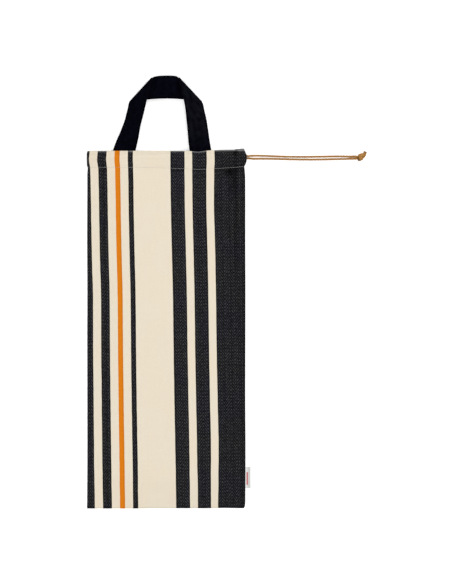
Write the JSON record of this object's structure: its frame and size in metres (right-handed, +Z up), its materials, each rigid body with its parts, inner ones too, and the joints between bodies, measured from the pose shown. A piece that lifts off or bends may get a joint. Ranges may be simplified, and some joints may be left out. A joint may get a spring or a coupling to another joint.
{
  "type": "linen bread bag",
  "caption": "Long flat cloth bag for loaves, striped, with a drawcord casing at the mouth, a folded tape carry handle, a knotted drawcord and a small side seam tab.",
  "frame": {"origin": "centre of the bounding box's underside, free cord left out: the middle of the bag, on the surface it lies on", "axes": "+X across the bag towards the seam with the drawcord slit, +Y along the bag from its bottom fold to its handle, +Z up from the surface it lies on"},
  "size_m": [0.5337, 0.8258, 0.0338],
  "materials": {
    "striped_linen": "matte twill weave, ecru ground with black and orange warp stripes",
    "black_tape": "matte woven tape, near black",
    "pale_ribbon": "fine woven ribbon, light grey",
    "tan_cord": "twisted golden tan cord, matte"
  },
  "bodies": {
    "root": {"bag_cloth": "striped_linen", "handle_strap": "black_tape", "side_label": "pale_ribbon", "cord_in_casing": "tan_cord", "cord_leg_front": "tan_cord", "cord_leg_back": "tan_cord", "cord_knot": "tan_cord"}
  },
  "joints": []
}
